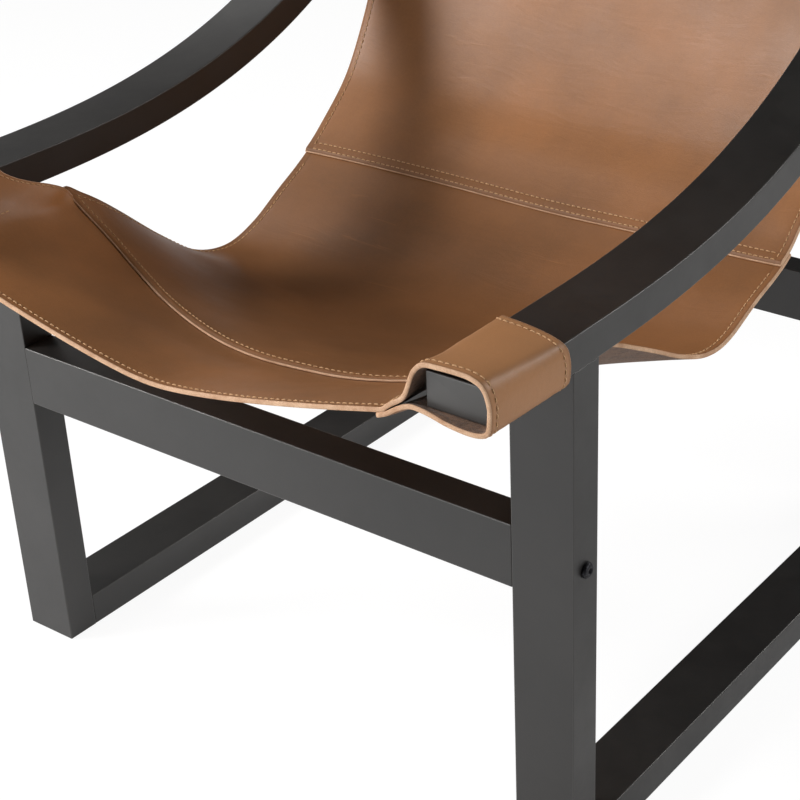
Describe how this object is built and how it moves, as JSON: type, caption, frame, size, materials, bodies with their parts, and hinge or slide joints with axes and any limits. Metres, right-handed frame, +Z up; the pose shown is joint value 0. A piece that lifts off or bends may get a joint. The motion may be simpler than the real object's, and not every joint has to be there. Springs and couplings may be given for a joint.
{
  "type": "lounge chair",
  "caption": "Low lounge chair: looped side frames of dark painted wood whose arms bend up into a reclined back, tied by rails and carrying a slung leather seat and back.",
  "frame": {"origin": "on the floor, under the middle of the chair's box", "axes": "+Z up, -Y toward the front of the chair, +X toward its right side as seen from the front"},
  "size_m": [0.6984, 0.8722, 0.8893],
  "materials": {
    "painted_wood": "satin black paint over solid wood",
    "saddle_leather": "waxed brown saddle leather with a soft sheen",
    "black_steel": "black oxide",
    "zinc_steel": "bright zinc plate",
    "beech": "bare wood",
    "nylon": "dark, smooth"
  },
  "bodies": {
    "root": {"arm_post_left": "painted_wood", "arm_post_right": "painted_wood", "front_leg_left": "painted_wood", "front_leg_right": "painted_wood", "rear_leg_left": "painted_wood", "rear_leg_right": "painted_wood", "floor_runner_left": "painted_wood", "floor_runner_right": "painted_wood", "front_rail": "painted_wood", "rear_rail": "painted_wood", "tenon_arm_left": "beech", "tenon_arm_right": "beech", "tenon_runner_front_left": "beech", "tenon_runner_front_right": "beech", "tenon_runner_rear_left": "beech", "tenon_runner_rear_right": "beech", "tenon_post_left": "beech", "tenon_post_right": "beech", "bolt_front_left": "black_steel", "bolt_front_right": "black_steel", "bolt_rear_left": "black_steel", "bolt_rear_right": "black_steel", "barrel_nut_front_left": "zinc_steel", "barrel_nut_front_right": "zinc_steel", "barrel_nut_rear_left": "zinc_steel", "barrel_nut_rear_right": "zinc_steel", "dowel_front_left_lower": "beech", "dowel_front_left_upper": "beech", "dowel_front_right_lower": "beech", "dowel_front_right_upper": "beech", "dowel_rear_left_lower": "beech", "dowel_rear_left_upper": "beech", "dowel_rear_right_lower": "beech", "dowel_rear_right_upper": "beech", "glide_front_left": "nylon", "glide_front_right": "nylon", "glide_rear_left": "nylon", "glide_rear_right": "nylon", "seat_panel": "saddle_leather", "back_panel": "saddle_leather", "front_band": "saddle_leather", "top_band": "saddle_leather"}
  },
  "joints": []
}
